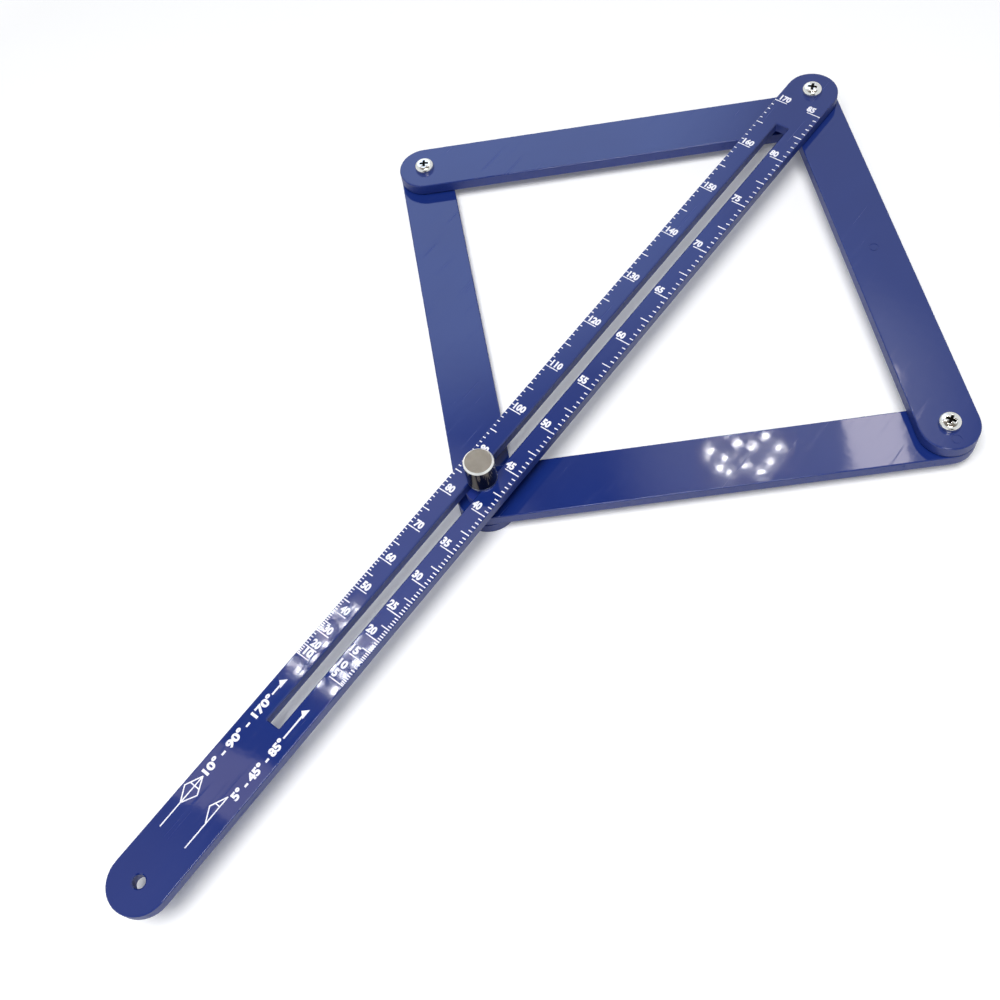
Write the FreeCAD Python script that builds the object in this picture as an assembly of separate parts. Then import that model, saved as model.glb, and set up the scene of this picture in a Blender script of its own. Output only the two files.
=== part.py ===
import FreeCAD, Part
import math
import os

# Angle finder with arms.  Four flat arms form a rhombus.  The apex of the rhombus is pinned to a
# slotted scale ruler, and the opposite corner slides along the ruler's slot and is clamped by a
# knob.  The angle between the two upper arms is read on the ruler.
#
# Millimetres and degrees.  +X runs along the ruler from the apex to the hanging hole, +Z is up
# through the clamp knob, and -Y is the left side for a reader who holds the apex away.  The origin
# is the bottom centre of the tool's box, with the arms open as at rest.

Vec = FreeCAD.Vector
UP = Vec(0, 0, 1)
CENTRE = Vec(0, 0, 0)

# ---------------------------------------------------------------------------------------------
# Driving dimensions
# ---------------------------------------------------------------------------------------------

REST_HALF_ANGLE = 47.3      # angle between the ruler and each upper arm at rest
NARROWEST_HALF_ANGLE = 7.0  # the slot lets the arms fold between these two angles
WIDEST_HALF_ANGLE = 85.0

ARM_PITCH = 152.0           # pivot to pivot, the same on all four arms
ARM_WIDTH = 20.0
ARM_THICK = 4.6

RULER_WIDTH = 19.6
RULER_THICK = 4.3
SLOT_RUNOUT_WIDE = 2.8      # slot left past the bolt at the widest angle
SLOT_RUNOUT_NARROW = 4.2    # and at the narrowest
SLOT_CORNER = 0.5
SLOT_TO_HOLE = 56.6         # from the slot's end to the hanging hole's centre
HANG_HOLE_DIAMETER = 4.0

BAR_EDGE = 0.4              # rounding of the moulded bars' rims
RIM_CHAMFER = 0.4           # on the slot and the hanging hole
PIN_MARK_DIAMETER = 3.6     # rings left by the mould's ejector pins on top of the upper right arm
PIN_MARK_WIDTH = 0.5
PIN_MARK_DEPTH = 0.12
PIN_MARK_TO_ELBOW = 6.4     # from the elbow's centre to the ring at the arm's end

PIVOT_DIAMETER = 4.0        # M4 pivot screws
PIVOT_HEAD_DIAMETER = 7.4
PIVOT_HEAD_HEIGHT = 2.5
PIVOT_HEAD_ROUND = 1.5      # rounding of the head's rim
CROSS_LENGTH = 4.0          # cross recess in the pivot heads
CROSS_WIDTH = 0.85
CROSS_DEPTH = 1.5
PIVOT_NUT_FLATS = 7.0
THIN_NUT_HEIGHT = 2.2
NUT_COLLAR_DIAMETER = 6.2   # round collar of the lock nuts
NUT_COLLAR_HEIGHT = 1.6
NUT_COLLAR_ROUND = 0.5
SCREW_TIP_CHAMFER = 0.3
CORNER_SHARE = 0.7          # share of a hexagon's corners that is turned off at its ends

CLAMP_DIAMETER = 4.95       # M5 clamp bolt, over the thread crests
CLAMP_HEAD_FLATS = 8.0
CLAMP_HEAD_HEIGHT = 2.2
CLAMP_THREAD_DEPTH = 7.5    # bolt thread inside the knob
CLAMP_TIP_CHAMFER = 0.5

KNOB_DIAMETER = 10.1
KNOB_HEIGHT = 10.0
KNOB_CHAMFER = 0.6
KNOB_FOOT_CHAMFER = 0.3
KNOB_BORE_RUNOUT = 0.8      # blind bore past the bolt's tip
KNOB_WASHER_DIAMETER = 10.0
KNOB_WASHER_THICK = 0.8

WASHER_DIAMETER = 9.0       # nylon washers between the bars
WASHER_THICK = 0.3
SPACER_DIAMETER = 13.0      # spacer that carries the ruler over the lower arms
SPACER_CHAMFER = 0.3

# Fits, all radial or on one face
RUNNING_PLAY = 0.06         # screw and bolt shanks in their bores
SLOT_PLAY = 0.075           # clamp bolt in the slot, each side
FACE_PLAY = 0.05            # faces that rub on each other
THREAD_PLAY = 0.03
POCKET_PLAY = 0.10          # nut and bolt head in their pockets
TIP_INSET = 0.4             # screw tips stop this far inside the nut

# ---------------------------------------------------------------------------------------------
# Sizes that follow
# ---------------------------------------------------------------------------------------------

LAYER_GAP = WASHER_THICK + 2 * FACE_PLAY
LAYER_PITCH = ARM_THICK + LAYER_GAP

# Undersides of the four layers
LOWER_LEFT_Z = 0.0
MIDDLE_Z = LAYER_PITCH                  # upper left arm and lower right arm
UPPER_RIGHT_Z = 2 * LAYER_PITCH
RULER_Z = 3 * LAYER_PITCH
RULER_TOP_Z = RULER_Z + RULER_THICK
KNOB_Z = RULER_TOP_Z + FACE_PLAY + KNOB_WASHER_THICK

LOCK_NUT_HEIGHT = MIDDLE_Z - FACE_PLAY      # the lock nuts stand on the same table as the tool
PIVOT_BORE = PIVOT_DIAMETER + 2 * RUNNING_PLAY
CLAMP_BORE = CLAMP_DIAMETER + 2 * RUNNING_PLAY
NUT_THREAD = PIVOT_DIAMETER + 2 * THREAD_PLAY
KNOB_THREAD = CLAMP_DIAMETER + 2 * THREAD_PLAY
SLOT_WIDTH = CLAMP_DIAMETER + 2 * SLOT_PLAY
NUT_POCKET_DEPTH = THIN_NUT_HEIGHT + POCKET_PLAY
HEAD_POCKET_DEPTH = CLAMP_HEAD_HEIGHT + POCKET_PLAY


def polar(angle, length):
    """A flat vector at an angle from +X."""
    return Vec(length * math.cos(math.radians(angle)), length * math.sin(math.radians(angle)), 0)


def slider_reach(half_angle):
    """From the apex pivot to the clamp bolt, along the ruler."""
    return 2 * ARM_PITCH * math.cos(math.radians(half_angle))


# Along the ruler from the apex pivot
SLOT_START = slider_reach(WIDEST_HALF_ANGLE) - CLAMP_DIAMETER / 2 - SLOT_RUNOUT_WIDE
SLOT_END = slider_reach(NARROWEST_HALF_ANGLE) + CLAMP_DIAMETER / 2 + SLOT_RUNOUT_NARROW
RULER_HOLE_PITCH = SLOT_END + SLOT_TO_HOLE

# The tool's box runs from the widest bar's end round the apex to the ruler's far end
WIDEST_BAR_END = max(ARM_WIDTH, RULER_WIDTH) / 2
APEX = Vec((WIDEST_BAR_END - RULER_HOLE_PITCH - RULER_WIDTH / 2) / 2, 0, 0)
LEFT_ELBOW = APEX + polar(-REST_HALF_ANGLE, ARM_PITCH)
RIGHT_ELBOW = APEX + polar(REST_HALF_ANGLE, ARM_PITCH)
SLIDER = APEX + Vec(slider_reach(REST_HALF_ANGLE), 0, 0)


# ---------------------------------------------------------------------------------------------
# Building blocks
# ---------------------------------------------------------------------------------------------

def at(point, height):
    """The same point in plan, at a height."""
    return Vec(point.x, point.y, height)


def cylinder(diameter, height, foot):
    return Part.makeCylinder(diameter / 2, height, foot, UP)


def ring(outer, inner, height, foot):
    return cylinder(outer, height, foot).cut(cylinder(inner, height, foot))


def hexagon(flats, height, foot):
    """A hexagonal prism that stands on its foot, two flats along X."""
    corner = flats / math.sqrt(3)
    points = [foot + polar(60 * k, corner) for k in range(6)]
    wire = Part.makePolygon(points + points[:1])
    return Part.Face(wire).extrude(UP * height)


def rim_edges(shape, height):
    """The edges that lie in the plane at a height."""
    found = []
    for edge in shape.Edges:
        box = edge.BoundBox
        if abs(box.ZMin - height) < 1e-6 and abs(box.ZMax - height) < 1e-6:
            found.append(edge)
    return found


def bar(length, width, thick):
    """A flat bar with round ends, centred on its pivots at X = 0 and X = length."""
    half = width / 2
    sides = [
        Part.LineSegment(Vec(0, -half, 0), Vec(length, -half, 0)),
        Part.Arc(Vec(length, -half, 0), Vec(length + half, 0, 0), Vec(length, half, 0)),
        Part.LineSegment(Vec(length, half, 0), Vec(0, half, 0)),
        Part.Arc(Vec(0, half, 0), Vec(-half, 0, 0), Vec(0, -half, 0)),
    ]
    outline = Part.Wire([side.toShape() for side in sides])
    blank = Part.Face(outline).extrude(UP * thick)
    return blank.makeFillet(BAR_EDGE, rim_edges(blank, 0) + rim_edges(blank, thick))


def placed(shape, angle, point, height):
    """A shape turned about its first pivot and set down at a point."""
    result = shape.copy()
    result.rotate(CENTRE, UP, angle)
    result.translate(at(point, height))
    return result


def hole(diameter, x):
    """A cutter for a plain bore through any bar."""
    reach = ARM_THICK + RULER_THICK
    return cylinder(diameter, 2 * reach, Vec(x, 0, -reach))


def arm(first_bore, second_bore):
    """One arm along +X with a plain bore at each pivot."""
    blank = bar(ARM_PITCH, ARM_WIDTH, ARM_THICK)
    return blank.cut(hole(first_bore, 0)).cut(hole(second_bore, ARM_PITCH))


def cross_cutter(top):
    """A tapered cross recess that ends at a point on the head's top."""
    foot = top - UP * CROSS_DEPTH
    blades = []
    for angle in (45, 135):
        blade = Part.makeBox(CROSS_LENGTH, CROSS_WIDTH, 2 * CROSS_DEPTH)
        blade.translate(Vec(-CROSS_LENGTH / 2, -CROSS_WIDTH / 2, 0))
        blade.rotate(CENTRE, UP, angle)
        blade.translate(foot)
        blades.append(blade)
    envelope = Part.makeCone(CROSS_WIDTH / 2, CROSS_LENGTH, 2 * CROSS_DEPTH, foot, UP)
    return blades[0].fuse(blades[1]).common(envelope)


def pan_head(seat):
    """A low screw head with a well rounded rim and a cross recess."""
    head = cylinder(PIVOT_HEAD_DIAMETER, PIVOT_HEAD_HEIGHT, seat)
    head = head.makeFillet(PIVOT_HEAD_ROUND, rim_edges(head, seat.z + PIVOT_HEAD_HEIGHT))
    return head.cut(cross_cutter(seat + UP * PIVOT_HEAD_HEIGHT))


def pivot_screw(point, seat_z, tip_z):
    """A pan head screw whose head sits on the face at seat_z."""
    seat = at(point, seat_z + FACE_PLAY)
    tip = at(point, tip_z)
    shank = cylinder(PIVOT_DIAMETER, seat.z - tip.z, tip)
    shank = shank.makeChamfer(SCREW_TIP_CHAMFER, rim_edges(shank, tip.z))
    return pan_head(seat).fuse(shank).removeSplitter()


def chamfered_hexagon(flats, height, foot):
    """A hexagonal prism whose corners are turned off at both ends."""
    corner = flats / math.sqrt(3)
    turned = cylinder(2 * corner, height, foot)
    ends = rim_edges(turned, foot.z) + rim_edges(turned, foot.z + height)
    turned = turned.makeChamfer(CORNER_SHARE * (corner - flats / 2), ends)
    return hexagon(flats, height, foot).common(turned)


def thin_nut(foot):
    body = chamfered_hexagon(PIVOT_NUT_FLATS, THIN_NUT_HEIGHT, foot)
    return body.cut(cylinder(NUT_THREAD, THIN_NUT_HEIGHT, foot))


def lock_nut(foot):
    """A hexagonal lock nut, its round collar at the bottom."""
    collar = cylinder(NUT_COLLAR_DIAMETER, LOCK_NUT_HEIGHT / 2, foot)
    collar = collar.makeFillet(NUT_COLLAR_ROUND, rim_edges(collar, foot.z))
    hex_foot = foot + UP * NUT_COLLAR_HEIGHT
    body = chamfered_hexagon(PIVOT_NUT_FLATS, LOCK_NUT_HEIGHT - NUT_COLLAR_HEIGHT, hex_foot)
    return body.fuse(collar).cut(cylinder(NUT_THREAD, LOCK_NUT_HEIGHT, foot)).removeSplitter()


# ---------------------------------------------------------------------------------------------
# The pieces
# ---------------------------------------------------------------------------------------------

def scale_ruler():
    """The long ruler: pivot bore, clamp slot and hanging hole."""
    blank = bar(RULER_HOLE_PITCH, RULER_WIDTH, RULER_THICK)
    cutters = [hole(PIVOT_BORE, 0), hole(HANG_HOLE_DIAMETER, RULER_HOLE_PITCH)]
    slot = Part.makeBox(SLOT_END - SLOT_START, SLOT_WIDTH, RULER_THICK)
    slot.translate(Vec(SLOT_START, -SLOT_WIDTH / 2, 0))
    uprights = [edge for edge in slot.Edges if edge.BoundBox.ZLength > RULER_THICK / 2]
    slot = slot.makeFillet(SLOT_CORNER, uprights)
    for cutter in cutters + [slot]:
        blank = blank.cut(cutter)
    rims = []
    for edge in rim_edges(blank, RULER_THICK) + rim_edges(blank, 0):
        box = edge.BoundBox
        inner = max(abs(box.YMin), abs(box.YMax)) < RULER_WIDTH / 2 - 2 * BAR_EDGE
        at_apex = box.XMax < SLOT_START / 2
        if inner and not at_apex:
            rims.append(edge)
    return placed(blank.makeChamfer(RIM_CHAMFER, rims), 0, APEX, RULER_Z)


def upper_left_arm():
    """From the apex to the left elbow, in the middle layer."""
    return placed(arm(PIVOT_BORE, PIVOT_BORE), -REST_HALF_ANGLE, APEX, MIDDLE_Z)


def upper_right_arm():
    """From the apex to the right elbow, just under the ruler, with two ejector pin marks."""
    shape = arm(PIVOT_BORE, PIVOT_BORE)
    inner = PIN_MARK_DIAMETER - 2 * PIN_MARK_WIDTH
    for x in (ARM_PITCH / 2, ARM_PITCH + PIN_MARK_TO_ELBOW):
        foot = Vec(x, 0, ARM_THICK - PIN_MARK_DEPTH)
        shape = shape.cut(ring(PIN_MARK_DIAMETER, inner, PIN_MARK_DEPTH, foot))
    return placed(shape, REST_HALF_ANGLE, APEX, UPPER_RIGHT_Z)


def lower_right_arm():
    """From the right elbow to the slider, in the middle layer."""
    return placed(arm(PIVOT_BORE, CLAMP_BORE), -REST_HALF_ANGLE, RIGHT_ELBOW, MIDDLE_Z)


def lower_left_arm():
    """From the left elbow to the slider, the lowest layer, with pockets for nut and bolt head."""
    shape = arm(PIVOT_BORE, CLAMP_BORE)
    nut_pocket = hexagon(PIVOT_NUT_FLATS + 2 * POCKET_PLAY, NUT_POCKET_DEPTH, CENTRE)
    head_pocket = hexagon(CLAMP_HEAD_FLATS + 2 * POCKET_PLAY, HEAD_POCKET_DEPTH, Vec(ARM_PITCH, 0, 0))
    shape = shape.cut(nut_pocket).cut(head_pocket)
    return placed(shape, REST_HALF_ANGLE, LEFT_ELBOW, LOWER_LEFT_Z)


def turned_with_lower_left(shape, point):
    """Turns a hexagonal piece so that it sits in the lower left arm's pocket."""
    shape.rotate(point, UP, REST_HALF_ANGLE)
    return shape


def left_elbow_nut():
    nut = thin_nut(at(LEFT_ELBOW, LOWER_LEFT_Z + POCKET_PLAY))
    return turned_with_lower_left(nut, LEFT_ELBOW)


def clamp_bolt():
    """The bolt of the slider: flat hexagonal head in the lowest arm, thread up in the knob."""
    foot = at(SLIDER, LOWER_LEFT_Z + POCKET_PLAY)
    head = chamfered_hexagon(CLAMP_HEAD_FLATS, CLAMP_HEAD_HEIGHT, foot)
    tip_z = KNOB_Z + CLAMP_THREAD_DEPTH
    shank = cylinder(CLAMP_DIAMETER, tip_z - foot.z, foot)
    shank = shank.makeChamfer(CLAMP_TIP_CHAMFER, rim_edges(shank, tip_z))
    return turned_with_lower_left(head.fuse(shank).removeSplitter(), SLIDER)


def washer(point, below_z, bore=PIVOT_BORE):
    """A nylon washer in the gap above the bar whose top is at below_z."""
    return ring(WASHER_DIAMETER, bore, WASHER_THICK, at(point, below_z + FACE_PLAY))


def slider_spacer():
    """Fills the layer between the lower right arm and the ruler at the slider."""
    foot_z = MIDDLE_Z + ARM_THICK + FACE_PLAY
    height = RULER_Z - FACE_PLAY - foot_z
    body = ring(SPACER_DIAMETER, CLAMP_BORE, height, at(SLIDER, foot_z))
    return body.makeChamfer(SPACER_CHAMFER, rim_edges(body, foot_z) + rim_edges(body, foot_z + height))


def knob_washer():
    foot = at(SLIDER, RULER_TOP_Z + FACE_PLAY)
    return ring(KNOB_WASHER_DIAMETER, CLAMP_BORE, KNOB_WASHER_THICK, foot)


def clamp_knob():
    """A plain turned cylinder, blind threaded from below, with a bright chamfer round its top."""
    foot = at(SLIDER, KNOB_Z)
    body = cylinder(KNOB_DIAMETER, KNOB_HEIGHT, foot)
    body = body.makeChamfer(KNOB_CHAMFER, rim_edges(body, KNOB_Z + KNOB_HEIGHT))
    body = body.makeChamfer(KNOB_FOOT_CHAMFER, rim_edges(body, KNOB_Z))
    return body.cut(cylinder(KNOB_THREAD, CLAMP_THREAD_DEPTH + KNOB_BORE_RUNOUT, foot))


def build():
    """Every piece by its name."""
    tip_in_lock_nut = LOWER_LEFT_Z + TIP_INSET
    tip_in_thin_nut = LOWER_LEFT_Z + POCKET_PLAY + TIP_INSET
    lower_left_top = LOWER_LEFT_Z + ARM_THICK
    middle_top = MIDDLE_Z + ARM_THICK
    upper_right_top = UPPER_RIGHT_Z + ARM_THICK
    return {
        "scale_ruler": scale_ruler(),
        "upper_left_arm": upper_left_arm(),
        "upper_right_arm": upper_right_arm(),
        "lower_left_arm": lower_left_arm(),
        "lower_right_arm": lower_right_arm(),
        "apex_screw": pivot_screw(APEX, RULER_TOP_Z, tip_in_lock_nut),
        "left_elbow_screw": pivot_screw(LEFT_ELBOW, middle_top, tip_in_thin_nut),
        "right_elbow_screw": pivot_screw(RIGHT_ELBOW, upper_right_top, tip_in_lock_nut),
        "apex_lock_nut": lock_nut(at(APEX, LOWER_LEFT_Z)),
        "left_elbow_nut": left_elbow_nut(),
        "right_elbow_lock_nut": lock_nut(at(RIGHT_ELBOW, LOWER_LEFT_Z)),
        "apex_upper_washer": washer(APEX, upper_right_top),
        "apex_lower_washer": washer(APEX, middle_top),
        "left_elbow_washer": washer(LEFT_ELBOW, lower_left_top),
        "right_elbow_washer": washer(RIGHT_ELBOW, middle_top),
        "slider_washer": washer(SLIDER, lower_left_top, CLAMP_BORE),
        "slider_spacer": slider_spacer(),
        "clamp_bolt": clamp_bolt(),
        "knob_washer": knob_washer(),
        "clamp_knob": clamp_knob(),
    }


os.makedirs("parts", exist_ok=True)
for name, shape in build().items():
    box = shape.BoundBox
    shape.exportStep(f"parts/{name}.step")
    print(f"{name:22s} solids {len(shape.Solids)} valid {shape.isValid()} volume {shape.Volume:9.1f}"
          f"  x {box.XMin:8.2f} {box.XMax:8.2f}  y {box.YMin:8.2f} {box.YMax:8.2f}"
          f"  z {box.ZMin:6.2f} {box.ZMax:6.2f}")
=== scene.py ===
# %% [markdown]
# # A folding angle finder
#
# Four plastic bars are pinned into a rhombus, and one corner of it is pinned to a slotted ruler.
# The opposite corner slides along the slot and is clamped by a knob, so the knob's place on the
# ruler tells the angle between the upper bars.  The pieces come from a CAD model at real size.
# This lesson gives them their finishes, prints the scale, remakes the screws and lights the set.

import math

import bmesh
import bpy
from mathutils import Matrix, Vector


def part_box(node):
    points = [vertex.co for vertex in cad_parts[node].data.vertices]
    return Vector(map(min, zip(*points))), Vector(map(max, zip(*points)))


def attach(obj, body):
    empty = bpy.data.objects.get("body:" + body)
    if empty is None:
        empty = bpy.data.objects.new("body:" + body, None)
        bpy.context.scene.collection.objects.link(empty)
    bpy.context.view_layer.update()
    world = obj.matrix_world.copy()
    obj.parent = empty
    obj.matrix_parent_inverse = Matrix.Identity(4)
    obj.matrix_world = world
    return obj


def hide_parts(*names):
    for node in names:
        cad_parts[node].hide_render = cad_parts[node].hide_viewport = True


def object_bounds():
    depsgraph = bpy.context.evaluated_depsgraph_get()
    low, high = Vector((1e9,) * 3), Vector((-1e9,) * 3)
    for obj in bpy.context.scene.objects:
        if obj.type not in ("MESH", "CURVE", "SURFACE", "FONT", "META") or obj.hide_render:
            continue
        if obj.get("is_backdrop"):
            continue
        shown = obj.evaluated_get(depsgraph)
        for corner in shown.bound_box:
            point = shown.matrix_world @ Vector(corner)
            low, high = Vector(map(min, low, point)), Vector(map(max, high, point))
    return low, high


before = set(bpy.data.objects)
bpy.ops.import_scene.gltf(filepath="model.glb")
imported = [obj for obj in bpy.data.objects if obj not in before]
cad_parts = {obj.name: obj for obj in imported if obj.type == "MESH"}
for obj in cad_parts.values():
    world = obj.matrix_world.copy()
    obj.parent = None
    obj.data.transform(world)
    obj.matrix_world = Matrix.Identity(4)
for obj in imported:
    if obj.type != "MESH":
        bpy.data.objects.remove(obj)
cad_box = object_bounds()
MM = 0.001                  # in metres; a length below that names no unit is in millimetres
UP = Vector((0, 0, 1))
for name in sorted(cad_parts):
    low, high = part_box(name)
    print(name, [round(side / MM, 1) for side in high - low], "mm")

# %% [markdown]
# ## Colours and nodes
#
# A colour is easiest to pick as the hex code that a screen shows, but the shader works with light,
# so one function turns the code into linear values.  The others add a node, set its properties,
# and fill or link its inputs.  A few kinds of node come back in every finish, so each of these has
# a function of its own that hands on its output.  With them, a material reads like a recipe.

# %% Materials and nodes
def linear(code):
    """The linear colour, with full alpha, of an sRGB hex code."""
    shares = [int(code[place:place + 2], 16) / 255 for place in (0, 2, 4)]
    return [s / 12.92 if s <= 0.04045 else ((s + 0.055) / 1.055) ** 2.4 for s in shares] + [1]


def fill(tree, node, inputs):
    """Gives a node's inputs their values, or links them to the outputs they are given."""
    for key, value in inputs.items():
        if isinstance(value, bpy.types.NodeSocket):
            tree.links.new(value, node.inputs[key])
        else:
            node.inputs[key].default_value = value


def add(tree, kind, inputs=None, **settings):
    """Adds a shader node with these settings and inputs."""
    node = tree.nodes.new("ShaderNode" + kind)
    for name, value in settings.items():
        setattr(node, name, value)
    fill(tree, node, inputs or {})
    return node


def new_material(name):
    """An empty finish: the material, its node tree, its shader and its Object coordinates."""
    material = bpy.data.materials.new(name)
    material.use_nodes = True
    tree = material.node_tree
    place = add(tree, "TexCoord").outputs["Object"]
    return material, tree, tree.nodes["Principled BSDF"], place


print("white is", linear("FFFFFF"))

# %% Nodes that come back in every finish
MIX_COLOURS = (6, 7)        # a Mix node's colour inputs, which share their names with other types
MIX_RESULT = 2


def per_mm(size):
    """The texture scale that makes one wave of a pattern this many millimetres long."""
    return 1 / (size * MM)


def noise(tree, place, size, detail):
    """A cloudy pattern of this size, in millimetres, with so many finer layers in it."""
    inputs = {"Vector": place, "Scale": per_mm(size), "Detail": detail}
    return add(tree, "TexNoise", inputs).outputs["Fac"]


def ramp(tree, value, span=(0, 1), levels=(0, 1), how="LINEAR"):
    """Maps a span of the value onto two levels, and holds it there beyond the span."""
    inputs = {"Value": value, "From Min": span[0], "From Max": span[1],
              "To Min": levels[0], "To Max": levels[1]}
    return add(tree, "MapRange", inputs, interpolation_type=how).outputs["Result"]


def calculate(tree, operation, *values):
    """The result of a Math node on up to three values."""
    return add(tree, "Math", dict(enumerate(values)), operation=operation).outputs["Value"]


def blend(tree, factor, first, second, how="MIX"):
    """The colour that a Mix node makes of two."""
    inputs = {"Factor": factor, MIX_COLOURS[0]: first, MIX_COLOURS[1]: second}
    return add(tree, "Mix", inputs, data_type="RGBA", blend_type=how).outputs[MIX_RESULT]


def relief(tree, height, depth, under=None, invert=False):
    """The normal of a bump this many millimetres deep, laid on another relief."""
    inputs = {"Height": height, "Distance": depth * MM}
    if under is not None:
        inputs["Normal"] = under
    return add(tree, "Bump", inputs, invert=invert).outputs["Normal"]


print("a wave of 1 mm has the scale", per_mm(1))

# %% [markdown]
# ## Moulded blue ABS
#
# The bars and the ruler are injection moulded from blue ABS in a polished mould.  The colour is in
# the plastic, so it is even, with only a slow drift where the melt cooled.  The gloss is what the
# eye reads: a moulded face is never quite flat, so reflections waver over 30 to 60 mm, a finer
# orange peel of a few millimetres bends their edges, and handling leaves hairline scratches.  All
# of that is far too shallow to model, so it is bump, with its depths in real millimetres.

# %% Blue ABS
PLASTIC_BLUE = linear("14276B")
PLASTIC_BLUE_PALE = linear("1A3179")
MELT_DRIFT = 38             # mm, slow change of shade
WARP_WAVE = 45              # mm, length of the slow waves in a moulded face
WARP_DEPTH = 0.10           # mm, how far they take it from flat
PEEL_WAVE = 3.5             # mm, orange peel
PEEL_DEPTH = 0.006
SCRATCH_SPACING = 1.1       # mm between hairlines, drawn coarser than the real 0.3 to show
SCRATCH_STRETCH = 0.03      # width of a hairline's noise against its length
SCRATCH_CUT = (0.64, 0.74)  # the noise's values where a hairline starts and where it is full
SCRATCH_DEPTH = 0.002
SCRATCH_DULLER = 0.25       # roughness that a hairline adds
SCRATCH_TURNS = (28, 117)   # degrees, two ways that a tool slides in and out of a bag
PLASTIC_ROUGHNESS = (0.03, 0.06)        # where the polish is best and worst
WALL_DULLER = 0.45          # roughness added on upright walls, which dragged along the mould
WALL_SPAN = (0.6, 0.1)      # share of up in a face's normal where that starts and where it is full
ABS_IOR = 1.53

# To the eye an even, deep blue under a clear gloss that wavers.
blue_abs, tree, shader, place = new_material("moulded_blue_ABS")
drift = noise(tree, place, MELT_DRIFT, detail=2)
skin = None
for wave, depth in ((WARP_WAVE, WARP_DEPTH), (PEEL_WAVE, PEEL_DEPTH)):
    skin = relief(tree, noise(tree, place, wave, detail=1), depth, skin)
hairlines = 0
for turn in SCRATCH_TURNS:
    turned = add(tree, "Mapping", {"Vector": place, "Rotation": (0, 0, math.radians(turn)),
                                   "Scale": (SCRATCH_STRETCH, 1, 1)}).outputs["Vector"]
    streak = noise(tree, turned, SCRATCH_SPACING, detail=3)
    hairlines = calculate(tree, "MAXIMUM", hairlines, ramp(tree, streak, SCRATCH_CUT))
haze = ramp(tree, drift, levels=PLASTIC_ROUGHNESS)
worn = calculate(tree, "MULTIPLY_ADD", hairlines, SCRATCH_DULLER, haze)
facing = add(tree, "SeparateXYZ", {"Vector": add(tree, "TexCoord").outputs["Normal"]})
level = calculate(tree, "ABSOLUTE", facing.outputs["Z"])
drag = ramp(tree, level, WALL_SPAN, (0, WALL_DULLER))
fill(tree, shader, {"Base Color": blend(tree, drift, PLASTIC_BLUE, PLASTIC_BLUE_PALE),
                    "Roughness": calculate(tree, "ADD", worn, drag), "IOR": ABS_IOR,
                    "Normal": relief(tree, hairlines, SCRATCH_DEPTH, skin, invert=True)})
print(blue_abs.name, len(tree.nodes), "nodes")

# %% [markdown]
# ## White printing ink
#
# The scale is pad printed with a white ink that dries to a satin skin.  The film is thin, so a
# little of the blue comes through, more at some places than at others.  A film that really lets
# light through would be slow to render, so its thin places are just mixed from a bluer white.

# %% White ink
INK_WHITE = linear("F6F5FC")
INK_THIN = linear("CFCFE8")
INK_PATCH = 0.9             # mm, size of the thinner places
INK_THIN_CUT = (0.5, 0.8)   # the noise's values where the film starts to thin and is thinnest
INK_GRAIN = 0.003           # mm, depth of its skin
INK_ROUGHNESS = 0.42
INK_IOR = 1.5

# To the eye a satin white, a little bluer where it is thin.
white_ink, tree, shader, place = new_material("pad_printed_white_ink")
film = noise(tree, place, INK_PATCH, detail=3)
thin = ramp(tree, film, INK_THIN_CUT)
fill(tree, shader, {"Base Color": blend(tree, thin, INK_WHITE, INK_THIN),
                    "Normal": relief(tree, film, INK_GRAIN),
                    "Roughness": INK_ROUGHNESS, "IOR": INK_IOR})
print(white_ink.name, len(tree.nodes), "nodes")

# %% [markdown]
# ## Plated metals
#
# The screws are cold-headed steel with bright nickel, a warm white metal that mirrors the room.
# The nuts, the clamp bolt and its washer are zinc plated, which is bluer and duller.  Plating is
# never even, so colour and polish drift together over a millimetre or two.  The recess of a screw
# is painted nearly black, as painted shade, so it has a finish of its own.

# %% Nickel and zinc
def plated(name, bright, dull, roughness, patch):
    """A plated metal: its material, tree, shader and coordinates, and its colour and polish."""
    material, tree, shader, place = new_material(name)
    cloud = noise(tree, place, patch, detail=4)
    colour = blend(tree, cloud, linear(bright), linear(dull))
    polish = ramp(tree, cloud, levels=roughness)
    fill(tree, shader, {"Base Color": colour, "Roughness": polish, "Metallic": 1})
    return material, tree, shader, place, colour, polish


# To the eye a warm mirror that is a little clouded.
bright_nickel, *_ = plated("bright_nickel_plated_steel", bright="F0EDE6", dull="D8D4CA",
                           roughness=(0.1, 0.2), patch=1.6)
# Painted shade: the recess is nearly black, so that the cross reads from afar.
painted_shade_steel, *_ = plated("painted_recess_shade", bright="262422", dull="151413",
                           roughness=(0.5, 0.7), patch=0.6)
# Cooler, greyer and softer than the nickel.
zinc_plate, *_ = plated("zinc_plated_steel", bright="C3C6CA", dull="A2A6AC",
                        roughness=(0.24, 0.42), patch=1.2)
print(bright_nickel.name, painted_shade_steel.name, zinc_plate.name)

# %% [markdown]
# ## Turned knob
#
# The knob is turned from nickel plated steel.  Its polished side is painted dark, as painted shade,
# its chamfer is painted pale, as a painted highlight, and its top keeps the rings of the facing cut,
# which the eye takes as the sign of a lathe.  Modelled rings would need thousands of faces, so they
# are bump from a wave texture.  They lie about the knob's own axis, so the coordinates are first
# moved onto it.

# %% Turned steel
RING_SPACING = 1.38         # mm between the rings that show, far coarser than the cut's own 0.05
RING_DEPTH = 0.004
RING_WAVER = 0.6            # how far the rings stray from circles
WAVE_RINGS = 20 / math.tau  # rings in one unit of a Wave texture at scale 1
TOP_FACE_MARGIN = 0.02      # mm below the top face where the rings stop
KNOB_SIDE_PAINTED_SHADE = linear("504A43") # painted shade: the dark surroundings that the side mirrors
KNOB_RIM_PAINTED_HIGHLIGHT = linear("F4F0E8") # painted highlight on the chamfer
RIM_HEIGHT = 0.62           # mm, the chamfer's
RIM_DULLER = 0.22           # roughness that the chamfer and the top have over the side

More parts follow.
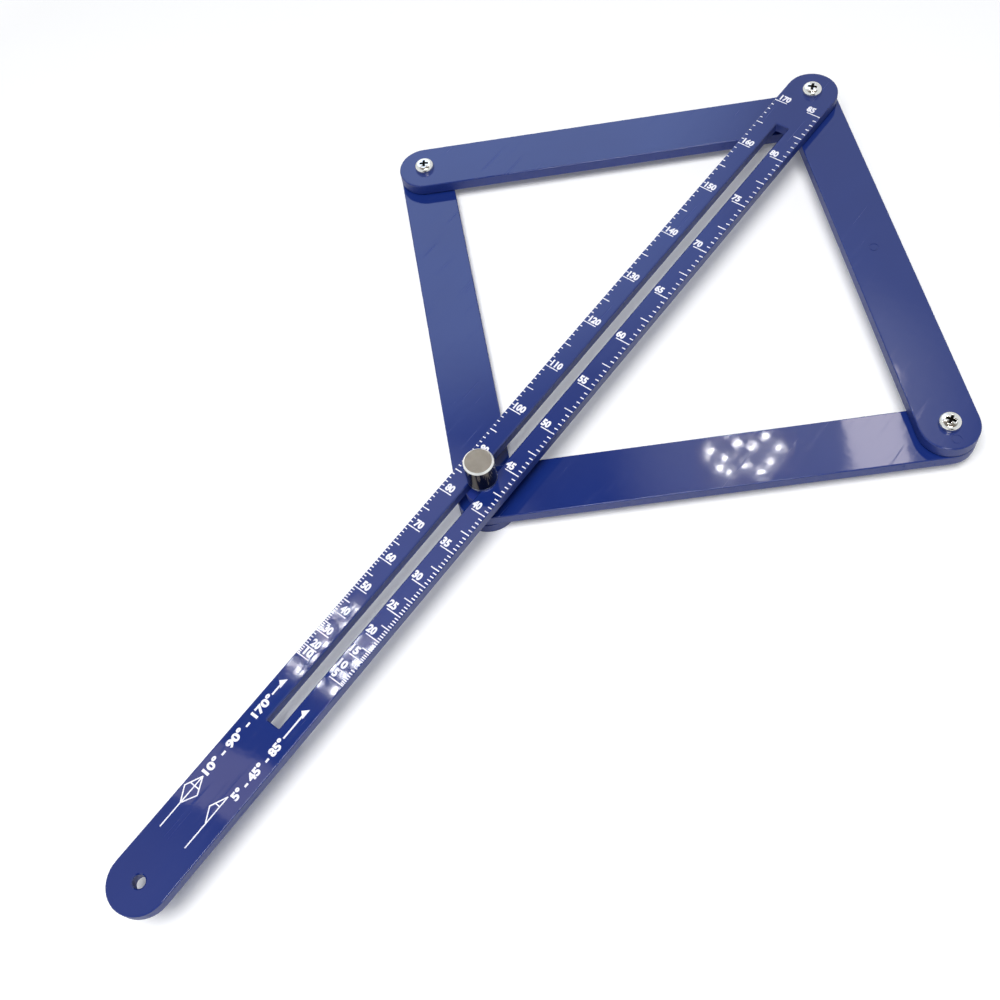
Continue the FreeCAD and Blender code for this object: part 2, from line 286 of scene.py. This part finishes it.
knob_low, knob_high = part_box("clamp_knob")
knob_axis = (knob_low + knob_high) / 2
# To the eye a dark mirror with a bright edge and a ringed, softer top; the side's darkness is
# painted shade and the bright edge a painted highlight.
turned_steel, tree, shader, place, face_colour, polish = plated(
    "turned_nickel_plated_steel", bright="A89C8A", dull="918673", roughness=(0.10, 0.16), patch=2.5)
centred = add(tree, "Mapping", {"Vector": place, "Location": (-knob_axis.x, -knob_axis.y, 0)})
rings = add(tree, "TexWave", {"Vector": centred.outputs["Vector"], "Distortion": RING_WAVER,
                              "Scale": per_mm(RING_SPACING) / WAVE_RINGS, "Detail": 1},
            wave_type="RINGS", rings_direction="Z").outputs["Fac"]
height = add(tree, "SeparateXYZ", {"Vector": place}).outputs["Z"]
on_top = calculate(tree, "GREATER_THAN", height, knob_high.z - TOP_FACE_MARGIN * MM)
on_rim = calculate(tree, "GREATER_THAN", height, knob_high.z - RIM_HEIGHT * MM)
# The side's dark colour is painted shade and the chamfer's pale colour a painted highlight.
painted_side_and_rim = blend(tree, on_rim, KNOB_SIDE_PAINTED_SHADE, KNOB_RIM_PAINTED_HIGHLIGHT)
fill(tree, shader, {"Base Color": blend(tree, on_top, painted_side_and_rim, face_colour),
                    "Roughness": calculate(tree, "MULTIPLY_ADD", on_rim, RIM_DULLER, polish),
                    "Normal": relief(tree, calculate(tree, "MULTIPLY", rings, on_top), RING_DEPTH)})
print("the knob's axis is at x", round(knob_axis.x / MM, 1), "mm")

# %% [markdown]
# ## Nylon and the spacer
#
# Thin nylon washers let the bars turn without squeaking.  Raw nylon is a creamy, slightly waxy
# white.  The spacer that carries the ruler over the lower bars is moulded from the bars' blue ABS
# in a spark-eroded mould, which leaves it matt.  Both show a plain colour with a fine grain, so
# one recipe serves them.

# %% Nylon and matt ABS
def plain_plastic(name, colours, roughness, grain, depth):
    """A matt or waxy plastic with a fine grain of the given size and depth, in millimetres."""
    material, tree, shader, place = new_material(name)
    speck = noise(tree, place, grain, detail=3)
    fill(tree, shader, {"Base Color": blend(tree, speck, *map(linear, colours)),
                        "Normal": relief(tree, speck, depth),
                        "Roughness": roughness, "IOR": ABS_IOR})
    return material


# To the eye a creamy wax.
white_nylon = plain_plastic("natural_nylon_6", ("E9E6DB", "DEDACB"),
                            roughness=0.45, grain=0.8, depth=0.004)
# The bars' blue without their gloss.
matt_abs = plain_plastic("spark_eroded_blue_ABS", ("0F2170", "18307F"),
                         roughness=0.55, grain=0.25, depth=0.012)
print(white_nylon.name, matt_abs.name)

# %% [markdown]
# ## Finishes on the CAD pieces
#
# The shapes of the bars, washers, nuts, bolt and knob are already right, so they only take a
# material.  Assigning it to the object's slot leaves the mesh as it is.

# %% Assign the finishes
FINISHES = {
    "blue_plastic": blue_abs,
    "nickel_plated_steel": bright_nickel,
    "zinc_plated_steel": zinc_plate,
    "white_nylon": white_nylon,
    "spacer_plastic": matt_abs,
    "knob_metal": turned_steel,
}
for name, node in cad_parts.items():
    slot = node.material_slots[0]
    slot.material = FINISHES[slot.material.name]
print(len(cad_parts), "CAD pieces have a finish")

# %% [markdown]
# ## Helpers for new pieces
#
# A new piece is built in a bmesh, in metres, at its final place, and then handed to an object at
# the origin.  Edges sharper than 35 degrees stay crisp, and the rest is shaded smooth.

# %% From a bmesh to a piece
SHARP_ANGLE = math.radians(35)


def piece(name, bm, material, body):
    """Turns a bmesh into an object that rides on a body, and frees the bmesh."""
    mesh = bpy.data.meshes.new(name)
    bm.to_mesh(mesh)
    bm.free()
    mesh.materials.append(material)
    mesh.shade_smooth()
    mesh.set_sharp_from_angle(angle=SHARP_ANGLE)
    thing = bpy.data.objects.new(name, mesh)
    bpy.context.scene.collection.objects.link(thing)
    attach(thing, body)
    print(name, len(mesh.polygons), "faces")
    return thing


print("edges over", round(math.degrees(SHARP_ANGLE)), "degrees stay sharp")

# %% [markdown]
# ## The printed scale
#
# The slider stands at twice the bars' length times the cosine of half the angle, so the marks
# crowd together towards small angles.  The left row gives the angle between the bars, and the
# right row half of it, from the same marks: a line for each half degree of the half angle, a
# longer one at each 2.5 and the longest, with its number, at each 5.  Where they crowd most only
# whole degrees have a line.  The marks are read at the slider's front edge, so they lie a little
# nearer the pivot than the clamp does.
#
# A texture could carry the scale, but it would blur near the camera, and faces stay sharp.  So a
# line is a strip: a chain of edges from its inner end to the ruler's edge and a little way down
# the rounding, swept sideways to the line's width and given the ink's thickness by solidify.

# %% Where a mark lies
READING_EDGE = 15.8         # mm from the clamp's centre to the slider's front edge


def centre_of(node):
    """The middle of a CAD node's box."""
    low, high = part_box(node)
    return (low + high) / 2


apex = centre_of("apex_screw")
elbow = centre_of("left_elbow_screw")
bar_pitch = (elbow.xy - apex.xy).length


def mark_x(half_angle):
    """Where the mark of a half angle lies along the ruler."""
    return apex.x + 2 * bar_pitch * math.cos(math.radians(half_angle)) - READING_EDGE * MM


print("bar pitch", round(bar_pitch / MM, 2), "mm")

# %% Lines of the scale
INK_THICK = 0.03
LINE_WIDTH = 0.38
EDGE_ROUND = 0.4            # mm, rounding of the ruler's rim
LINE_WRAP = (15, 30)        # degrees down the rounding where the chain has a point
SMALLEST, LARGEST = 5, 85   # half angles at the ends of a row
MARKS_PER_DEGREE = 2
FINE_FROM = 15              # half angle from which half degrees are marked too
LEFT, RIGHT = -1, 1         # sides of the ruler, by the sign of y
# Per row, from the largest step of the half angle down, the mm from the ruler's middle to its lines.
LINE_STARTS = {LEFT: {5: 4.5, 2.5: 6.9, 0.5: 8.6}, RIGHT: {5: 4.1, 2.5: 6.35, 0.5: 8.25}}

ruler_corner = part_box("scale_ruler")[1]
FACE_Z = ruler_corner.z
HALF_WIDTH = ruler_corner.y


def add_line(bm, x, inner, side):
    """Adds one line of the scale, from inner mm off the middle to the rounded rim."""
    path = [(inner * MM, FACE_Z), (HALF_WIDTH - EDGE_ROUND * MM, FACE_Z)]
    for degrees in LINE_WRAP:
        turn = math.radians(degrees)
        path.append((HALF_WIDTH - EDGE_ROUND * MM * (1 - math.sin(turn)),
                     FACE_Z - EDGE_ROUND * MM * (1 - math.cos(turn))))
    chain = [bm.verts.new((x - LINE_WIDTH * MM / 2, side * y, z)) for y, z in path]
    edges = [bm.edges.new(pair) for pair in zip(chain, chain[1:])]
    swept = bmesh.ops.extrude_edge_only(bm, edges=edges)["geom"]
    ends = [part for part in swept if isinstance(part, bmesh.types.BMVert)]
    bmesh.ops.translate(bm, verts=ends, vec=(LINE_WIDTH * MM, 0, 0))
    return [part for part in swept if isinstance(part, bmesh.types.BMFace)]


def thicken(bm, faces):
    """Gives ink faces their thickness, upwards."""
    for face in faces:
        face.normal_update()
        if face.normal.z < 0:
            face.normal_flip()
    bmesh.ops.solidify(bm, geom=faces, thickness=-INK_THICK * MM)
    bmesh.ops.recalc_face_normals(bm, faces=bm.faces)


half_angles = [count / MARKS_PER_DEGREE for count in
               range(SMALLEST * MARKS_PER_DEGREE, LARGEST * MARKS_PER_DEGREE + 1)]
half_angles = [a for a in half_angles if a >= FINE_FROM or a == int(a)]
for side, row in ((LEFT, "left"), (RIGHT, "right")):
    bm = bmesh.new()
    faces = []
    for half_angle in half_angles:
        step = next(step for step in LINE_STARTS[side] if half_angle % step == 0)
        faces += add_line(bm, mark_x(half_angle), LINE_STARTS[side][step], side)
    thicken(bm, faces)
    piece(f"{row}_scale_lines", bm, white_ink, "ruler")
print(len(half_angles), "marks a row")

# %% [markdown]
# ## Numbers
#
# The numbers are Blender's own font, made bolder with the curve's offset.  Each text is turned
# into a mesh first, and then stretched into the box it fills on the ruler, so the row is even
# whatever the digits' widths are.  The rows read across the ruler, and the two ranges at its lower
# end read along it.

# %% A printed text
FONT_BOLDER = 0.05          # share of the text size that is added all round
READS_ACROSS = math.radians(90)
READS_ALONG = math.radians(180)


def add_text(bm, text, low, high, turn):
    """Adds a printed text that fills the box from low to high, in metres on the ruler's face."""
    curve = bpy.data.curves.new("text", "FONT")
    curve.body = text
    curve.offset = FONT_BOLDER
    curve.extrude = 1       # any thickness will do, as the text is stretched to the ink's
    curve.resolution_u = 4
    holder = bpy.data.objects.new("text", curve)
    mesh = bpy.data.meshes.new_from_object(holder)
    mesh.transform(Matrix.Rotation(turn, 4, "Z"))
    corners = [[pick(v.co[axis] for v in mesh.vertices) for axis in range(3)] for pick in (min, max)]
    start, end = Vector(corners[0]), Vector(corners[1])
    floor, top = Vector((*low, FACE_Z)), Vector((*high, FACE_Z + INK_THICK * MM))
    stretch = [(t - f) / (e - s) for f, t, s, e in zip(floor, top, start, end)]
    mesh.transform(Matrix.Translation(floor) @ Matrix.Diagonal((*stretch, 1))
                   @ Matrix.Translation(-start))
    bm.from_mesh(mesh)
    bpy.data.objects.remove(holder)
    bpy.data.curves.remove(curve)
    bpy.data.meshes.remove(mesh)


print("texts are", INK_THICK, "mm thick")

# %% Numbers of the scale
NUMBER_STEP = 5
NUMBER_OFFSETS = (3.45, 0.6)            # mm before the mark where a number starts and ends
# Per row, the mm across the ruler where a number of one, two or three digits starts and ends.
NUMBER_SPANS = {LEFT: {2: (-7.9, -4.8), 3: (-8.3, -4.1)}, RIGHT: {1: (4.05, 5.65), 2: (3.3, 6.4)}}

for side, row, factor in ((LEFT, "left", 2), (RIGHT, "right", 1)):
    bm = bmesh.new()
    for half_angle in range(SMALLEST, LARGEST + 1, NUMBER_STEP):
        text = str(half_angle * factor)
        across = NUMBER_SPANS[side][len(text)]
        x = mark_x(half_angle)
        add_text(bm, text, (x - NUMBER_OFFSETS[0] * MM, across[0] * MM),
                 (x - NUMBER_OFFSETS[1] * MM, across[1] * MM), READS_ACROSS)
    piece(f"{row}_scale_numbers", bm, white_ink, "ruler")

# %% The two ranges
RANGES = (                  # text, and the corners of its box in mm from the pivot
    ("10° - 90° - 170°", (302.0, -7.9), (331.5, -5.0)),
    ("5° - 45° - 85°", (310.2, 4.4), (331.9, 7.3)))

bm = bmesh.new()
for text, low, high in RANGES:
    add_text(bm, text, (apex.x + low[0] * MM, low[1] * MM), (apex.x + high[0] * MM, high[1] * MM),
             READS_ALONG)
piece("range_figures", bm, white_ink, "ruler")

# %% [markdown]
# ## Arrows and diagrams
#
# An arrow points from each range to its row of numbers.  Behind it a small diagram shows what the
# row gives: the whole rhombus with a bar across for the angle between the bars, and half of it
# for the half angle.  Curves with a thickness could draw them, but flat boxes from point to point
# have the square ends of a printed line.  Each is a little longer than the distance between its
# points, so that the corners close.

# %% Strokes
STROKE = 0.38
STROKE_LIFT = 0.001         # mm from one stroke's top to the next, so that crossings don't flicker
BOX_FACES = 6


def add_stroke(bm, start, end, width=STROKE):
    """Adds a straight stroke between two points, in mm from the pivot along and across."""
    thick = (INK_THICK + STROKE_LIFT * len(bm.faces) / BOX_FACES) * MM
    a = Vector((apex.x + start[0] * MM, start[1] * MM, FACE_Z + thick / 2))
    b = Vector((apex.x + end[0] * MM, end[1] * MM, a.z))
    size = Matrix.Diagonal(((b - a).length + width * MM / 2, width * MM, thick, 1))
    turn = Matrix.Rotation(math.atan2(b.y - a.y, b.x - a.x), 4, "Z")
    bmesh.ops.create_cube(bm, size=1, matrix=Matrix.Translation((a + b) / 2) @ turn @ size)


print("strokes are", STROKE, "mm wide")

# %% Arrows
ARROWS = ((301.5, 295.0, -6.5), (309.6, 298.2, 5.75))   # mm along to tail and tip, mm across
ARROW_SHAFT = 0.55
HEAD_LENGTH, HEAD_WIDTH = 3.0, 2.3
# A triangle with its corners on a circle of radius 1 is this long and this wide.
UNIT_LENGTH, UNIT_WIDTH = 1.5, math.sqrt(3)


def add_arrow(bm, tail, tip, y):
    """Adds an arrow along the ruler with a solid head."""
    add_stroke(bm, (tail, y), (tip + HEAD_LENGTH, y), ARROW_SHAFT)
    middle = Vector((apex.x + (tip + HEAD_LENGTH / UNIT_LENGTH) * MM, y * MM,
                     FACE_Z + INK_THICK * MM / 2))
    size = Matrix.Diagonal((HEAD_LENGTH / UNIT_LENGTH * MM, HEAD_WIDTH / UNIT_WIDTH * MM,
                            INK_THICK * MM, 1))
    matrix = Matrix.Translation(middle) @ size @ Matrix.Rotation(math.pi, 4, "Z")
    bmesh.ops.create_cone(bm, cap_ends=True, segments=3, radius1=1, radius2=1, depth=1,
                          matrix=matrix)


marks = bmesh.new()
for tail, tip, y in ARROWS:
    add_arrow(marks, tail, tip, y)
print(len(ARROWS), "arrows")

# %% Diagrams
TOP_X, BAR_X, WIDE_X, FOOT_X, TAIL_X = 332.3, 335.8, 337.4, 341.9, 350.3    # mm from the pivot
DIAGRAMS = ((-6.2, (-2.65, 2.65)), (4.3, (-2.6,)))      # mm across: middle, and how far halves reach
BAR_SHARE = (BAR_X - TOP_X) / (WIDE_X - TOP_X)

for middle, reaches in DIAGRAMS:
    for reach in reaches:
        add_stroke(marks, (TOP_X, middle), (WIDE_X, middle + reach))
        add_stroke(marks, (WIDE_X, middle + reach), (FOOT_X, middle))
        add_stroke(marks, (BAR_X, middle), (BAR_X, middle + reach * BAR_SHARE))
    add_stroke(marks, (TOP_X, middle), (TAIL_X, middle))
piece("arrows_and_diagrams", marks, white_ink, "ruler")

# %% [markdown]
# ## Pan-head screws
#
# The three pivots are pan-head machine screws.  The head is spun round the axis from half its
# outline, and its upper rim is bevelled to the pan's soft shoulder.  The driver's recess is a
# tapered cross, which is cut with a Boolean because the wings run out into the domed face at no
# fixed edge.  A real recess is punched, so its walls lean and its rim is a little rounded.  The
# cutter has a nearly black finish of its own, painted shade for the recess, which the Boolean
# transfers to the cut.

# %% Head and shank
HEAD_HEIGHT = 2.5
HEAD_CROWN = 0.45           # mm that the middle of the face stands over its rim
HEAD_SHOULDER = 1.3         # mm, bevel of the rim
SHOULDER_STEPS = 8
SHANK_RADIUS = 2.0
TIP_CHAMFER = 0.3
SPIN_STEPS = 64
SAME_PLACE = 0.001          # mm, what lies nearer than this counts as one


def screw_blank(low, high):
    """A screw without its recess, spun to fill the box from low to high."""
    axis = (low + high) / 2
    radius = (high.x - low.x) / 2
    shank = SHANK_RADIUS * MM
    tip = TIP_CHAMFER * MM
    under_head = high.z - HEAD_HEIGHT * MM
    rim = high.z - HEAD_CROWN * MM
    outline = [(0, low.z), (shank - tip, low.z), (shank, low.z + tip), (shank, under_head),
               (radius, under_head), (radius, rim), (0, high.z)]
    bm = bmesh.new()
    chain = [bm.verts.new((axis.x + r, axis.y, z)) for r, z in outline]
    edges = [bm.edges.new(pair) for pair in zip(chain, chain[1:])]
    bmesh.ops.spin(bm, geom=chain + edges, cent=axis, axis=UP, angle=math.tau,
                   steps=SPIN_STEPS, use_merge=True)
    bmesh.ops.remove_doubles(bm, verts=bm.verts, dist=SAME_PLACE * MM)
    rim_edges = [edge for edge in bm.edges
                 if all(abs(v.co.z - rim) < SAME_PLACE * MM for v in edge.verts)]
    bmesh.ops.bevel(bm, geom=rim_edges, offset=HEAD_SHOULDER * MM, segments=SHOULDER_STEPS,
                    profile=0.5, affect="EDGES", material=-1)
    bmesh.ops.recalc_face_normals(bm, faces=bm.faces)
    return bm


print("a head is", HEAD_HEIGHT, "mm high, and a shank", 2 * SHANK_RADIUS, "mm thick")

# %% Cross recess
WING_LENGTH, WING_WIDTH, RECESS_DEPTH = 4.3, 1.1, 1.6
WING_FOOT = (0.42, 0.75)    # share of the wing's length and width that is left at its foot
WING_OVER = 0.5             # mm that the cutter stands over the face


def recess_wing(face, turn):
    """One tapered bar of the recess cutter, standing through the middle of the head's face."""
    height = (RECESS_DEPTH + WING_OVER) * MM
    bm = bmesh.new()
    bmesh.ops.create_cube(bm, size=1, matrix=Matrix.Diagonal(
        (WING_LENGTH * MM, WING_WIDTH * MM, height, 1)))
    foot = [v for v in bm.verts if v.co.z < 0]
    bmesh.ops.scale(bm, verts=foot, vec=(*WING_FOOT, 1))
    bmesh.ops.rotate(bm, verts=bm.verts, matrix=Matrix.Rotation(turn, 3, "Z"))
    bmesh.ops.translate(bm, verts=bm.verts, vec=face + UP * (WING_OVER * MM - height / 2))
    return bm


def apply_modifiers(thing):
    """Replaces the object's mesh by what its modifiers make of it."""
    graph = bpy.context.evaluated_depsgraph_get()
    mesh = bpy.data.meshes.new_from_object(thing.evaluated_get(graph))
    thing.modifiers.clear()
    thing.data = mesh
    mesh.name = thing.name


def cut_recess(screw, face, turn, body):
    """Cuts the two bars of the cross into the head."""
    for wing_turn in (turn, turn + math.pi / 2):
        # The cutter's nearly black finish is painted shade, which the Boolean carries into the
        # recess.
        cutter = piece("cutter", recess_wing(face, wing_turn), painted_shade_steel, body)
        boolean = screw.modifiers.new("recess", "BOOLEAN")
        boolean.object = cutter
        boolean.solver = "EXACT"
        boolean.material_mode = "TRANSFER"
        apply_modifiers(screw)
        bpy.data.objects.remove(cutter)


print("a recess is", RECESS_DEPTH, "mm deep")

# %% Three screws
EDGE_BREAK = 0.07           # mm, rounding of a screw's sharp edges
SCREWS = (                  # node, body and degrees that its cross is turned
    ("apex_screw", "ruler", 20),
    ("left_elbow_screw", "lower_left", 38),
    ("right_elbow_screw", "upper_right", 8))

for node, body, degrees in SCREWS:
    low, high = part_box(node)
    screw = piece(node.replace("screw", "pan_head_screw"), screw_blank(low, high), bright_nickel,
                  body)
    face = Vector(((low.x + high.x) / 2, (low.y + high.y) / 2, high.z))
    cut_recess(screw, face, math.radians(degrees), body)
    bevel = screw.modifiers.new("rim", "BEVEL")
    bevel.width = EDGE_BREAK * MM
    bevel.segments = 2
    bevel.limit_method = "ANGLE"
    bevel.angle_limit = SHARP_ANGLE
    apply_modifiers(screw)
    screw.data.shade_smooth()
    screw.data.set_sharp_from_angle(angle=SHARP_ANGLE)
    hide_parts(node)
    print(screw.name, len(screw.data.polygons), "faces with its recess")

# %% [markdown]
# ## Paper floor
#
# The tool lies on white paper.  A mesh of the set is handed to the stage, so that it doesn't count
# as a part of the tool.  The paper takes the tool's shadow.  Beyond the lamp's pool of light it
# would turn grey, so it has a glow of its own, which only the camera and reflections see, and
# which grows with the distance until paper and background meet without a line.

# %% Paper floor
WHITE = linear("FFFFFF")
FLOOR_SIZE = 6              # m
PAPER_GREY, PAPER_PALE = linear("F4F4F4"), linear("FAFAFA")
PAPER_FIBRE = 0.4           # mm
PAPER_ROUGHNESS = 0.9
PAPER_GLOW = 0.12           # round the tool
GLOW_SPAN = (0.35, 1.1)     # m from the tool where the glow starts to grow and where it is full


def stage_piece(name, bm, material):
    """Turns a bmesh into an object of the set, which isn't part of the tool."""
    mesh = bpy.data.meshes.new(name)
    bm.to_mesh(mesh)
    bm.free()
    mesh.materials.append(material)
    thing = bpy.data.objects.new(name, mesh)
    bpy.context.scene.collection.objects.link(thing)
    thing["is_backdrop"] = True
    return thing


def seen_directly(tree):
    """1 for rays from the camera, from gloss or through glass, and 0 for other light."""
    path = add(tree, "LightPath").outputs
    either = calculate(tree, "MAXIMUM", path["Is Camera Ray"], path["Is Glossy Ray"])
    return calculate(tree, "MAXIMUM", either, path["Is Transmission Ray"])


# To the eye an even white without any shine.
paper, tree, shader, place = new_material("white_background_paper")
tone = blend(tree, noise(tree, place, PAPER_FIBRE, detail=2), PAPER_GREY, PAPER_PALE)
away = add(tree, "VectorMath", {0: place}, operation="LENGTH").outputs["Value"]
glow = ramp(tree, away, GLOW_SPAN, (PAPER_GLOW, 1))
fill(tree, shader, {"Base Color": tone, "Emission Color": WHITE,
                    "Emission Strength": calculate(tree, "MULTIPLY", seen_directly(tree), glow),
                    "Roughness": PAPER_ROUGHNESS, "Specular IOR Level": 0})
bm = bmesh.new()
bmesh.ops.create_grid(bm, x_segments=1, y_segments=1, size=FLOOR_SIZE / 2,
                      matrix=Matrix.Translation((0, 0, cad_box[0].z)))
stage_piece("floor", bm, paper)
print("the floor lies at z", round(cad_box[0].z / MM, 2), "mm")

# %% [markdown]
# ## Pale room
#
# Glossy plastic looks like what it mirrors, so the room is drawn into the world: pale walls, a
# darker ceiling, which is what keeps the blue deep around the knob, and soft glows where the
# windows are.  The side behind the viewer is dark and gives the screws their dark crescents.  An
# image of a studio could do the same, but soft glows are easier to place and need no file.  The
# camera itself sees plain white, and the room lights the tool at a fraction of what gloss shows.

# %% Pale room
WALL_COLOUR = linear("F0F7FF")
CEILING_COLOUR = linear("76716B")
CEILING_EDGE = (0.79, 0.87) # cosine from the zenith, where the walls end and where the ceiling starts
ROOM_GLOWS = (              # direction, cosines at its edge and its core, colour, strength
    ((-0.50, -0.62, 0.60), (0.935, 0.965), "B0CCFF", 1.5),
    ((-0.49, -0.20, 0.85), (0.989, 0.998), "FFFFFF", 1.1),
    ((-0.25, -0.40, 0.88), (0.9925, 0.997), "EEF0FF", 1.25),
    ((0.15, -0.42, 0.89), (0.982, 0.994), "FFFFFF", 0.5))
NEAR_SIDE = (0.74, 0.67, 0) # towards the viewer
NEAR_EDGE = (0.84, 0.94)
NEAR_COLOUR = linear("2A2928")
AMBIENT = 0.23

world = bpy.data.worlds.new("pale_room")
bpy.context.scene.world = world
world.use_nodes = True
tree = world.node_tree
direction = add(tree, "TexCoord").outputs["Generated"]


def towards(tree, direction, aim):
    """The cosine between a ray's direction and this aim, which is about 1 long."""
    return add(tree, "VectorMath", {0: direction, 1: aim}, operation="DOT_PRODUCT").outputs["Value"]


height = add(tree, "SeparateXYZ", {"Vector": direction}).outputs["Z"]
room = blend(tree, ramp(tree, height, CEILING_EDGE), WALL_COLOUR, CEILING_COLOUR)
for aim, edges, colour, strength in ROOM_GLOWS:
    light = [strength * share for share in linear(colour)]
    amount = ramp(tree, towards(tree, direction, aim), edges, how="SMOOTHSTEP")
    room = blend(tree, amount, room, light, "ADD")
near = ramp(tree, towards(tree, direction, NEAR_SIDE), NEAR_EDGE)
room = blend(tree, near, room, NEAR_COLOUR)
by_camera = add(tree, "LightPath").outputs["Is Camera Ray"]
fill(tree, tree.nodes["Background"], {
    "Color": blend(tree, by_camera, room, WHITE),
    "Strength": ramp(tree, seen_directly(tree), levels=(AMBIENT, 1))})
print(len(ROOM_GLOWS), "glows in the room, ambient", AMBIENT)

# %% [markdown]
# ## Lamps
#
# One soft box lights everything from above and a little behind the viewer.  Gloss would mirror it
# as a wide white sheet over the scale, so it is kept out of the gloss, and a small panel beside
# it draws the light lines on rounded edges instead.  Two other panels too only show in the gloss:
# a bright one that ends where the right bars meet, and a faint one on the ruler's lower end.

# %% Panels
PANELS = (                  # name, centre and sides in m, radiance, colour, degrees turned
    ("key_soft_box", (0.35, 0.15, 1.2), (0.65, 0.65), 12.8, "FFFFFF", 0),
    ("edge_panel", (0.14, 0.35, 1.2), (0.4, 0.25), 18, "FFFFFF", 0),
    ("left_panel", (0.135, -0.45, 1.0), (0.08, 0.1), 1.6, "FFF0F0", 0),
    ("right_panel", (-0.704, -0.086, 1.0), (0.075, 0.13), 6.5, "FFF4F4", 34))


def panel_light(name, centre, size, radiance, colour, turn):
    """A light panel that faces the tool.  A radiance of 1 would look white."""
    lamp = bpy.data.lights.new(name, "AREA")
    lamp.shape = "RECTANGLE"
    lamp.size, lamp.size_y = size
    lamp.energy = radiance * math.pi * size[0] * size[1]
    lamp.color = linear(colour)[:3]
    thing = bpy.data.objects.new(name, lamp)
    facing = (-Vector(centre)).to_track_quat("-Z", "Y").to_matrix().to_4x4()
    own_turn = Matrix.Rotation(math.radians(turn), 4, "Z")
    thing.matrix_world = Matrix.Translation(centre) @ facing @ own_turn
    bpy.context.scene.collection.objects.link(thing)
    thing.visible_camera = False
    return thing


key, *gloss_panels = [panel_light(*panel) for panel in PANELS]
key.visible_glossy = False
for panel in gloss_panels:
    panel.visible_diffuse = False
    print(panel.name, "shows in the gloss only")

# %% [markdown]
# ## Clusters of LEDs
#
# Two workshop lamps with many small LEDs leave a sprinkle of bright points in the gloss.  Each
# point could be a lamp of its own, but one round sheet is enough: it is clear but for its dots,
# which are a cell pattern cut off near the cells' middles.

# %% Clusters of LEDs
LED_SPACING = 25            # mm
LED_STRAY = 0.5             # how far the dots lie off a grid, of 1
LED_RADIUS = 0.15           # share of the spacing
LED_RADIANCE = 100
LED_LAMPS = (               # name, centre and radius in m
    ("left_LED_lamp", (-0.06, -0.455, 1.0), 0.06),
    ("right_LED_lamp", (-0.585, -0.204, 1.0), 0.05))

led_glow, tree, shader, place = new_material("cluster_of_LEDs")
cells = add(tree, "TexVoronoi", {"Vector": place, "Scale": per_mm(LED_SPACING),
                                 "Randomness": LED_STRAY}, voronoi_dimensions="2D")
dots = calculate(tree, "LESS_THAN", cells.outputs["Distance"], LED_RADIUS)
fill(tree, shader, {"Alpha": dots, "Emission Color": WHITE, "Emission Strength": LED_RADIANCE})
for name, centre, radius in LED_LAMPS:
    bm = bmesh.new()
    bmesh.ops.create_circle(bm, cap_ends=True, segments=32, radius=radius,
                            matrix=Matrix.Translation(centre))
    lamp = stage_piece(name, bm, led_glow)
    lamp.visible_camera = False
    lamp.visible_diffuse = False
    lamp.visible_shadow = False
    print(name, round(radius / MM), "mm radius")

# %% [markdown]
# ## Camera
#
# The camera stands close over the tool's lower right, looks back to its middle and is rolled so
# that the ruler runs from the picture's lower left to its upper right.

# %% Camera
CAMERA_PLACE = Vector((151.4, 153.4, 351.3)) * MM
CAMERA_TURN = [math.radians(a) for a in (29.13, 6.45, 127.69)]
CAMERA_LENS = 42.7          # mm
CAMERA_SENSOR = 36          # mm wide
CAMERA_NEAR = 10            # mm, nothing nearer is drawn

lens = bpy.data.cameras.new("camera")
lens.lens = CAMERA_LENS
lens.sensor_width = CAMERA_SENSOR
lens.clip_start = CAMERA_NEAR * MM
camera = bpy.data.objects.new("camera", lens)
camera.location = CAMERA_PLACE
camera.rotation_euler = CAMERA_TURN
bpy.context.scene.collection.objects.link(camera)
bpy.context.scene.camera = camera
bpy.context.scene.view_settings.view_transform = "Standard"
print("the camera stands", round(CAMERA_PLACE.length / MM), "mm from the origin")

# %% [markdown]
# ## Sizes, and the end
#
# Finishes, ink and new screws must leave the tool's real size alone.  The box of the CAD pieces
# was kept at the start, so it is written beside the box of the finished tool to compare the two.

# %% Sizes, and the end
sizes = {"cad_box": cad_box, "visual_box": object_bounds()}
for key, corners in sizes.items():
    print(key, [[round(c / MM, 2) for c in corner] for corner in corners])
